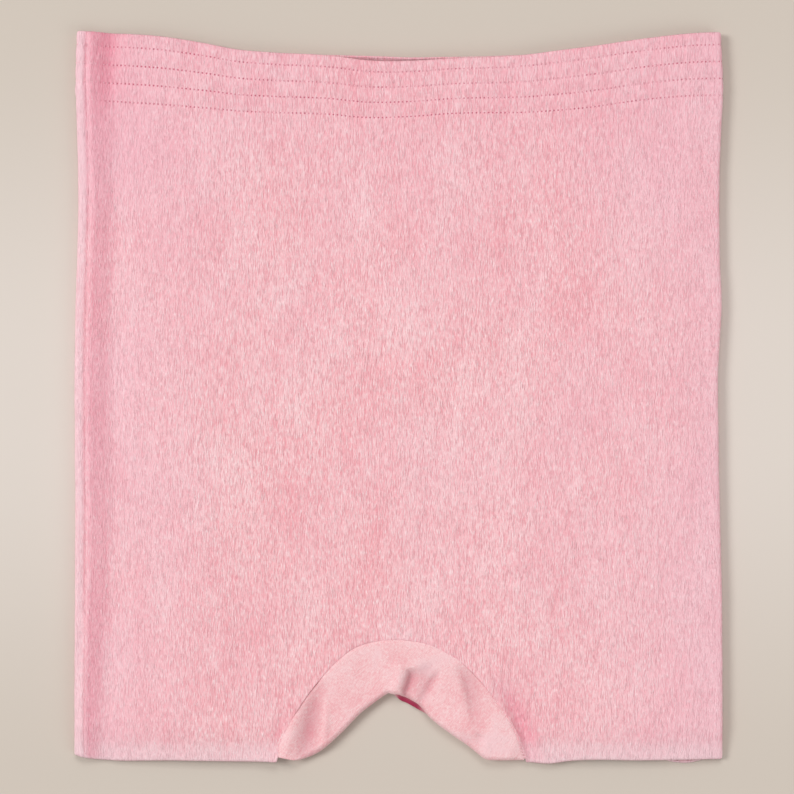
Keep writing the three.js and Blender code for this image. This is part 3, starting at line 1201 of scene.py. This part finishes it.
@dataclass(frozen=True)
class Gusset:
    """The gusset between the legs: one length of smooth knit over the notch, sewn to both panels' arches."""

    lay: Lay
    name: str
    inset: float = 0.0
    columns: int = 300
    thickness: float = 0.8 * MM
    fold_reach: float = 3.0 * MM
    sliver_left: Span = (-5 * MM, 1 * MM)
    sliver_right: Span = (9 * MM, 18 * MM)
    outer_retreat: float = 3.1 * MM
    lining_retreat: float = 5.0 * MM
    nap: float = 0.05 * MM
    grain: Streaks = Streaks(1.1 * MM, 3.2 * MM, 31)
    wave: Streaks = Streaks(11 * MM, 14 * MM, 12)
    wave_height: float = 0.35 * MM
    front_rows: tuple[float, ...] = (0.0, 0.025, 0.04, 0.055, 0.07, 0.085, 0.1)
    front_rows_rest: tuple[float, float, int] = (0.125, 1, 34)
    fold_rows: int = 27
    most_deep: float = 0.42
    deep_drop: float = 8.5 * MM
    creases: tuple[Crease, ...] = (
        Crease(((5.8, 50), (6.2, 46), (4.8, 41), (2.2, 34)), 3.5, 2.5, lean=0.3, ends=(0.0, 0.9)),
        Crease(((-4.0, 52), (0.6, 49), (0.0, 43), (-3.0, 36)), -1.2, 2.6, ends=(0.0, 0.6)),
        Crease(((10, 51), (13, 47), (13, 42), (9, 32)), 1.6, 6.2, ends=(0.0, 0.7)),
        Crease(((21.5, 48), (18.0, 43), (11.8, 32)), 1.5, 1.9, ends=(0.1, 0.6)),
        Crease(((31.0, 52), (36.0, 44), (38.5, 35), (41.0, 20)), 2.4, 4.4, lean=0.3, ends=(0.0, 0.3)),
        Crease(((31, 14), (37, 11), (44, 9)), 1.1, 3.6),
        Crease(((40.5, 15), (44.5, 12)), 1.0, 1.5),
        Crease(((45.0, 11), (48.0, 7)), -0.7, 1.2),
        Crease(((-41, 38), (-45, 25), (-48, 12), (-50, 1)), 3.2, 5.2),
        Crease(((-39.0, 36), (-38.5, 22), (-40, 7)), -1.2, 2.4),
        Crease(((-55, 20), (-58, 10), (-60, 2)), -0.7, 2.4),
    )

    def build(self, material: bpy.types.Material, slot: str, node: str) -> bpy.types.Object:
        """Makes the gusset, or with an inset its lining.

        Args:
            material: The knit.
            slot: The finish's slot.
            node: The CAD node that it stands for.

        Returns:
            The piece.
        """
        share = np.linspace(0, 1, self.columns)
        arch = self._even(self.lay.arch, share)
        notch = self._even(self.lay.notch, share)
        reach = np.linalg.norm(notch - arch, axis=1)
        toward = (notch - arch) / reach[:, None]
        front = np.concatenate([self.front_rows, np.linspace(*self.front_rows_rest)])
        bend = np.linspace(0, math.pi, self.fold_rows)[1:-1]
        place, marks = self._rows(arch, toward, reach, front, bend)
        facing_out = {key: value[:, ::-1] for key, value in marks.items()}
        piece = cloth_from_grid(self.name, place[:, ::-1], facing_out)
        thicken(piece, self.thickness)
        dress(piece, material, slot, node)
        return piece

    def _even(self, line: Points, share: Array) -> Array:
        """Walks a line at even steps, from just inside one end to just inside the other.

        Args:
            line: The line's points, in millimetres across from the middle and up from the hem.
            share: How far along each step is, from 0 to 1.

        Returns:
            The steps' X and Y, in metres.
        """
        path = smooth_path(line, np.linspace(0, 1, 1200)) * MM
        length = np.concatenate([[0], np.cumsum(np.linalg.norm(np.diff(path, axis=0), axis=1))])
        at = length[-1] * (0.004 + 0.992 * share)
        points = np.stack([np.interp(at, length, path[:, axis]) for axis in range(2)], axis=-1)
        return points + np.array([0.0, self.lay.hem_y])

    def _rows(
        self, arch: Array, toward: Array, reach: Array, front: Array, bend: Array
    ) -> tuple[Array, dict[str, Array]]:
        """Lays the rows: down the front, round the fold and up the back.

        Near the peak the fold stands back, so that a sliver of the back layer's inner face shows under it;
        that sliver is painted dark as the crevice's shade, and the creases get painted shade.

        Args:
            arch: Where each column starts, as X and Y.
            toward: The direction of each column, from the arch to the fold.
            reach: The length of each column down to the fold's edge.
            front: The rows down the front, as shares from the seam to the fold.
            bend: The rows round the fold, as turns from 0 to half a circle.

        Returns:
            The points, and the named values to keep on them.
        """
        lay = self.lay
        outer = self.inset == 0
        fold = np.minimum(self.fold_reach, 0.45 * reach)
        flat = reach - fold
        rows = []
        seam = -lay.tuck + self.inset
        level = 2 * lay.fold + lay.top_height(arch[:, 0], arch[:, 1])
        end = arch[:, 0] + toward[:, 0] * flat
        sliver = ease(*self.sliver_left, end) * fall(*self.sliver_right, end)
        held_back = (self.outer_retreat if outer else self.lining_retreat) * sliver
        for t in front:
            along = seam + (flat - held_back - seam) * t
            rows.append(self._upper(arch + toward * along[:, None], along, level))
        centre = arch + toward * flat[:, None]
        rim = rows[-1][:, 2]
        painted_shade = [self._painted_fold_shade(row) for row in rows]
        for turn in bend:
            inward = self.outer_retreat * float(fall(1.75, 2.25, turn))
            lip = (1 - math.sin(turn)) * float(ease(1.9, 2.3, turn) - ease(2.5, 2.9, turn))
            retreat = (fold * lip - inward) if outer else -self.lining_retreat
            push = (fold - self.inset) * math.sin(turn) + sliver * retreat
            spot = centre + toward * push[:, None]
            height = (rim + self.inset) / 2 + (rim - self.inset) / 2 * math.cos(turn)
            rows.append(np.concatenate([spot, height[:, None]], axis=1))
            # Painted shade of the crevice, darkest where the fold turns under.
            painted_crevice_shade = sliver * math.exp(-(((min(turn, 2.05) - 2.05) / 0.5) ** 2))
            painted_shade.append(np.maximum(painted_crevice_shade, painted_shade[len(front) - 1] * max(math.cos(turn), 0)))
        for t in front[::-1]:
            spot = arch + toward * (seam + (flat - seam) * t)[:, None]
            rows.append(np.concatenate([spot, np.full((len(spot), 1), self.nap + self.inset)], axis=1))
        place = np.stack(rows)
        fine = self.grain.height(place[..., 0] - 0.8 * place[..., 1], place[..., 1])
        place[..., 2] += self.nap * fine * outer
        painted_shade += [sliver * float(ease(0.86, 1.0, t)) for t in front[::-1]]
        return place, {"crinkle": fine, "painted_shade": np.stack(painted_shade)}

    def _painted_fold_shade(self, row: Array) -> Array:
        """Gives the painted shade in the front layer's creases, at each point of a row.

        Args:
            row: The row's points.

        Returns:
            The share, from 0 to the most that a fold of the front gets.
        """
        x, rise = row[:, 0], row[:, 1] - self.lay.hem_y
        drop = sum(crease.drop(x, rise) for crease in self.creases)
        return np.clip(drop / self.deep_drop, 0, self.most_deep)

    def _upper(self, spot: Array, along: Array, level: Array) -> Array:
        """Places the front layer: tucked under the panel, then lower and creased towards the fold.

        Args:
            spot: The points' X and Y.
            along: Their distance from the arch.
            level: The height of the panel at the arch.

        Returns:
            The points.
        """
        x, rise = spot[:, 0], spot[:, 1] - self.lay.hem_y
        height = level - 1.0 * MM * ease(2 * MM, 28 * MM, along)
        height += self.wave_height * self.wave.height(x + 0.6 * rise, rise)
        for crease in self.creases:
            height -= crease.drop(x, rise)
        height -= 0.45 * MM * fall(-0.4 * MM, 1.4 * MM, along) + self.inset
        return np.concatenate([spot, height[:, None]], axis=1)


@dataclass(frozen=True)
class Band:
    """A strip of cloth or elastic inside the shorts, at a set depth under the surface."""

    lay: Lay
    name: str
    start: float
    end: float
    inset: float
    thickness: float
    columns: int = 360
    ribs: float = 0.0
    rib_pitch: float = 1.8 * MM
    ring: bool = False

    def build(self, lower: Array, upper: Array, rows: int) -> bpy.types.Object:
        """Makes the strip.

        Args:
            lower: The lower edge's place along Y, one per column.
            upper: The upper edge's place along Y, one per column.
            rows: How many rows of points it has.

        Returns:
            The piece, without its finish.
        """
        around = self.stations()
        share = np.linspace(0, 1, rows)[:, None]
        y = lower + (upper - lower) * share
        across, _, _ = self.lay.section(around)
        x = across + 0 * y
        out = -self.inset + self.ribs * np.cos(2 * np.pi * around / self.rib_pitch) + 0 * y
        place = self.lay.place(around + 0 * y, x, y, out)
        piece = cloth_from_grid(self.name, place, {}, ring=self.ring)
        thicken(piece, self.thickness)
        return piece

    def stations(self) -> Array:
        """Gives where the columns lie round the girth."""
        return np.linspace(self.start, self.end, self.columns)[None, :]

    def front_share(self) -> tuple[Array, Array]:
        """Gives where the columns lie across, and their share of front."""
        across, cosine, _ = self.lay.section(self.stations())
        return across, (1 + cosine) / 2


@dataclass(frozen=True)
class Stitches:
    """A run of single stitches: small rounded lengths of thread, one after another."""

    name: str
    length: float = 1.75 * MM
    radius: float = 0.19 * MM
    slant: float = 0.0
    sides: int = 6
    rings: int = 5

    def build(self, path: Array, pitch: float) -> bpy.types.Object:
        """Makes the run.

        Args:
            path: The points that the run follows.
            pitch: The distance from one stitch to the next.

        Returns:
            The piece, without its finish.
        """
        length = np.concatenate([[0], np.cumsum(np.linalg.norm(np.diff(path, axis=0), axis=1))])
        at = np.arange(0.5 * pitch, length[-1] - 0.3 * pitch, pitch)
        spots = np.stack([np.interp(at, length, path[:, axis]) for axis in range(3)], axis=-1)
        beyond = at + 0.4 * pitch
        ahead = np.stack([np.interp(beyond, length, path[:, axis]) for axis in range(3)], axis=-1)
        bm = bmesh.new()
        for spot, forward in zip(spots, ahead):
            self._add(bm, Vector(spot), Vector(forward - spot))
        mesh = bpy.data.meshes.new(self.name)
        bm.to_mesh(mesh)
        bm.free()
        piece = bpy.data.objects.new(self.name, mesh)
        bpy.context.scene.collection.objects.link(piece)
        return piece

    def _add(self, bm: bmesh.types.BMesh, spot: Vector, forward: Vector) -> None:
        """Adds one stitch, lying along the run or slanting across it.

        Args:
            bm: The mesh that it is added to.
            spot: The stitch's middle.
            forward: The way that the run goes there.
        """
        if forward.length < 1e-9:
            return
        direction = forward.normalized()
        sideways = Vector((-direction.y, direction.x, 0))
        direction = (direction * math.cos(self.slant) + sideways * math.sin(self.slant)).normalized()
        turn = direction.to_track_quat("Z", "Y").to_matrix().to_4x4()
        made = bmesh.ops.create_uvsphere(bm, u_segments=self.sides, v_segments=self.rings, radius=self.radius)
        bmesh.ops.scale(bm, vec=(1, 1, self.length / (2 * self.radius)), verts=made["verts"])
        bmesh.ops.transform(bm, matrix=turn, verts=made["verts"])
        bmesh.ops.translate(bm, vec=spot, verts=made["verts"])


# ------------------------------------------------------------------------------------ sub-assemblies


@dataclass(frozen=True)
class Finishes:
    """The five materials of the shorts."""

    crinkle: bpy.types.Material
    gusset: bpy.types.Material
    turned: bpy.types.Material
    elastic: bpy.types.Material
    thread: bpy.types.Material

    @classmethod
    def build(cls) -> "Finishes":
        """Builds all five."""
        return cls(
            CrinkleKnit().build(),
            GussetKnit().build(),
            PressedKnit().build(),
            BraidedElastic().build(),
            SewingThread().build(),
        )


@dataclass(frozen=True)
class Body:
    """The two panels and the side seams that join them. The arch and the dip take a tenth off each panel."""

    lay: Lay
    finishes: Finishes
    area_share: float = 0.9
    seam_end: float = 4 * MM

    def build(self) -> None:
        """Makes the panels and the side seams' overlocking."""
        for side in Side:
            panel = Panel(self.lay, side).build(self.finishes.crinkle)
        self._seam("left", self.lay.left_seam)
        self._seam("right", self.lay.right_seam)

    def _seam(self, name: str, around: float) -> None:
        """Makes one side seam's overlocking, inside the shorts.

        Args:
            name: The side's name.
            around: Where the seam lies round the girth.
        """
        y = np.linspace(self.lay.hem_y + self.seam_end, self.lay.corner_y - self.seam_end, 300)
        spot = np.full_like(y, around)
        across, _, _ = self.lay.section(spot)
        path = self.lay.place(spot, across, y, -1.9 * MM)
        seam = Stitches(name + "_side_stitches", length=3.6 * MM, slant=1.1).build(path, 1.7 * MM)
        dress(seam, self.finishes.thread, "sewing_thread", "side_seam_thread_" + name)


@dataclass(frozen=True)
class Waistband:
    """The gathered waist: facings, three elastics and four rows of stitches."""

    lay: Lay
    finishes: Finishes
    facing_reach: float = 42.5 * MM
    elastic_half: float = 2.9 * MM

    def build(self) -> None:
        """Makes all of its pieces."""
        self._facing(Side.FRONT, self.lay.left_seam, self.lay.right_seam)
        self._facing(Side.BACK, self.lay.right_seam, self.lay.left_seam + self.lay.girth)
        for index in range(self.lay.row_count - 1):
            self._elastic(index)
        for index in range(self.lay.row_count):
            self._row(index)

    def _facing(self, side: Side, start: float, end: float) -> None:
        """Makes the turned-in cloth behind the elastics.

        Args:
            side: The half of the shorts.
            start: Where it starts round the girth.
            end: Where it ends.
        """
        name = side.value + "_turned_cloth"
        band = Band(self.lay, name, start + 0.3 * MM, end - 0.3 * MM, 2.75 * MM, 0.5 * MM)
        across, front = band.front_share()
        waist = self.lay.waist(across, front)
        middle = (side is Side.BACK) * fall(62 * MM, 86 * MM, np.abs(across))
        piece = band.build(waist - self.facing_reach, waist - (1.6 + 2.9 * middle) * MM, 30)
        dress(piece, self.finishes.turned, "turned_knit", "waist_facing_" + side.value)

    def _elastic(self, index: int) -> None:
        """Makes one ring of elastic between two rows of stitches.

        Args:
            index: The number of the row above it, from 0.
        """
        name = f"elastic_ring_{index + 1}"
        girth = self.lay.girth
        band = Band(
            self.lay, name, 0, girth, 1.85 * MM, 0.5 * MM, columns=900, ribs=0.08 * MM, ring=True
        )
        across, front = band.front_share()
        middle = (self.lay.row_depth(index, across) + self.lay.row_depth(index + 1, across)) / 2
        centre = self.lay.waist(across, front) - middle
        piece = band.build(centre - self.elastic_half, centre + self.elastic_half, 7)
        dress(piece, self.finishes.elastic, "elastic", f"waist_elastic_{index + 1}")

    def _row(self, index: int) -> None:
        """Makes one row of stitches, right round the waist.

        Args:
            index: The row's number, from 0 at the top.
        """
        lay = self.lay
        around = np.arange(0, lay.girth, STITCH_PITCH / 8)
        across, cosine, _ = lay.section(around)
        y = lay.waist(across, (1 + cosine) / 2) - lay.row_depth(index, across)
        path = lay.place(around, across, y, -0.2 * MM)
        stitches = Stitches(f"waist_stitches_{index + 1}", length=1.3 * MM, radius=0.2 * MM)
        piece = stitches.build(path, STITCH_PITCH)
        dress(piece, self.finishes.thread, "sewing_thread", f"waist_stitch_row_{index + 1}")


@dataclass(frozen=True)
class Legs:
    """The leg openings' turned hems and their stitches."""

    lay: Lay
    finishes: Finishes
    depth: float = 10.5 * MM
    inner_left: float = 68 * MM
    inner_right: float = 71 * MM
    thread_pitch: float = 2.4 * MM

    def build(self) -> None:
        """Makes both hems."""
        lay = self.lay
        half = lay.flat / 2
        under = lay.flat + lay.turn
        self._hem("left", under + half + self.inner_left, lay.girth + half - self.inner_left)
        self._hem("right", half + self.inner_right, under + half - self.inner_right)

    def _hem(self, name: str, start: float, end: float) -> None:
        """Makes one hem: the turned cloth and the run of stitches at its upper edge.

        Args:
            name: The side's name.
            start: Where the hem starts round the girth.
            end: Where it ends.
        """
        band = Band(self.lay, name + "_hem_cloth", start, end, 1.55 * MM, 0.5 * MM, columns=260)
        across, front = band.front_share()
        hem = self.lay.hem(across, front)
        piece = band.build(hem + 1.2 * MM, hem + self.depth, 12)
        dress(piece, self.finishes.turned, "turned_knit", name + "_leg_hem")
        around = np.linspace(start, end, 1200)
        across, cosine, _ = self.lay.section(around)
        y = self.lay.hem(across, (1 + cosine) / 2) + self.depth + 0.6 * MM
        path = self.lay.place(around, across, y, -1.6 * MM)
        run = Stitches(name + "_hem_stitches").build(path, self.thread_pitch)
        dress(run, self.finishes.thread, "sewing_thread", name + "_leg_hem_thread")


@dataclass(frozen=True)
class Crotch:
    """The gusset, its lining and the two arched seams."""

    lay: Lay
    finishes: Finishes

    def build(self) -> None:
        """Makes all of its pieces."""
        outer = Gusset(self.lay, "gusset_cloth").build(self.finishes.gusset, "gusset_knit", "gusset")
        lining = Gusset(self.lay, "gusset_inner_cloth", inset=1.3 * MM, columns=160, thickness=0.5 * MM)
        piece = lining.build(self.finishes.turned, "turned_knit", "gusset_lining")
        self._seam(Side.FRONT, 2 * self.lay.fold - 0.9 * MM)
        self._seam(Side.BACK, 1.2 * MM)

    def _seam(self, side: Side, height: float) -> None:
        """Makes one arched seam's overlocking.

        Args:
            side: The half of the shorts.
            height: How high the seam lies above the floor.
        """
        path = smooth_path(self.lay.arch, np.linspace(0.01, 0.99, 500)) * MM
        path = np.column_stack([path[:, 0], path[:, 1] + self.lay.hem_y, np.full(len(path), height)])
        seam = Stitches(side.value + "_arch_stitches", length=3.0 * MM, slant=1.1).build(path, 1.6 * MM)
        dress(seam, self.finishes.thread, "sewing_thread", "gusset_seam_thread_" + side.value)


# ------------------------------------------------------------------------------------ the stage


@dataclass(frozen=True)
class Stage:
    """The floor, the light and the camera."""

    frame_width: float = 417.6 * MM
    camera_distance: float = 1.5
    garment_top: float = 8.5 * MM
    sensor: float = 36.0
    floor_half: float = 2.5
    world_colour: Colour = (1.0, 0.985, 0.97)
    world_strength: float = 0.455
    # A painted pool of light on the floor: where it fades along Y and across X, and the floor's colours
    # outside it and in it.
    light_pool_y: Span = (0.21, 0.02)
    light_pool_x: Span = (0.9, 0.2)
    floor_painted_dim: Colour = (0.585, 0.52, 0.455)
    floor_painted_bright: Colour = (0.68, 0.615, 0.56)

    def camera(self) -> None:
        """Sets the camera straight above, with the waist at the top of the picture."""
        data = bpy.data.cameras.new("camera")
        data.sensor_width = self.sensor
        data.lens = self.sensor * self.camera_distance / self.frame_width
        data.clip_start = 0.05
        camera = bpy.data.objects.new("camera", data)
        camera.location = (-0.8 * MM, -0.3 * MM, self.garment_top + self.camera_distance)
        bpy.context.scene.collection.objects.link(camera)
        bpy.context.scene.camera = camera

    def build(self) -> None:
        """Makes the floor and the lights."""
        bpy.context.scene.view_settings.view_transform = "Standard"
        self._floor()
        self._light("key", (-5.6, 1.3, 6.2), 3.4, 350)
        self._light("top", (0.0, 3.6, 4.6), 2.4, 88)
        self._light("fill", (2.6, -1.6, 2.6), 2.4, 24)
        world = bpy.data.worlds.new("studio")
        world.use_nodes = True
        background = world.node_tree.nodes["Background"]
        background.inputs["Color"].default_value = (*self.world_colour, 1)
        background.inputs["Strength"].default_value = self.world_strength
        bpy.context.scene.world = world

    def _floor(self) -> None:
        """Makes the pale floor, with a painted pool of light: lighter in the middle, darker outwards."""
        bm = bmesh.new()
        bmesh.ops.create_grid(bm, x_segments=1, y_segments=1, size=self.floor_half)
        bmesh.ops.translate(bm, vec=(0, 0, -0.1 * MM), verts=bm.verts)
        mesh = bpy.data.meshes.new("floor")
        bm.to_mesh(mesh)
        bm.free()
        floor = bpy.data.objects.new("floor", mesh)
        bpy.context.scene.collection.objects.link(floor)
        shader = Shader("floor")
        x, y, _ = shader.split(shader.place())
        # Painted light: the floor is lighter in a pool about the middle.
        near = shader.step(shader.math("ABSOLUTE", y), *self.light_pool_y)
        light_pool_across = shader.step(shader.math("ABSOLUTE", x), *self.light_pool_x)
        near = shader.math("MULTIPLY", near, light_pool_across)
        shader.colour(shader.blend(near, self.floor_painted_dim, self.floor_painted_bright))
        shader.constant(Socket.ROUGHNESS, 0.95)
        shader.constant(Socket.SPECULAR, 0.1)
        mesh.materials.append(shader.material)
        floor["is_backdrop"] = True

    def _light(self, name: str, place: tuple[float, float, float], size: float, power: float) -> None:
        """Hangs one soft light, turned to the middle of the floor.

        Args:
            name: The light's name.
            place: Where it hangs, in metres.
            size: Its width, in metres.
            power: Its power, in watts.
        """
        data = bpy.data.lights.new(name, "AREA")
        data.shape = "DISK"
        data.size = size
        data.energy = power
        light = bpy.data.objects.new(name, data)
        light.location = place
        light.rotation_euler = (-Vector(place)).to_track_quat("-Z", "Y").to_euler()
        bpy.context.scene.collection.objects.link(light)


def main() -> None:
    """Builds the shorts and their stage."""
    logging.basicConfig(level=logging.INFO, format="%(message)s")
    stage = Stage()
    stage.camera()
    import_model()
    low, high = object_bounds()
    lay = Lay(half_width=high[0], hem_y=low[1], corner_y=high[1])
    finishes = Finishes.build()
    Body(lay, finishes).build()
    Crotch(lay, finishes).build()
    Waistband(lay, finishes).build()
    Legs(lay, finishes).build()
    stage.build()
    low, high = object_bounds()


if __name__ == "__main__":
    main()
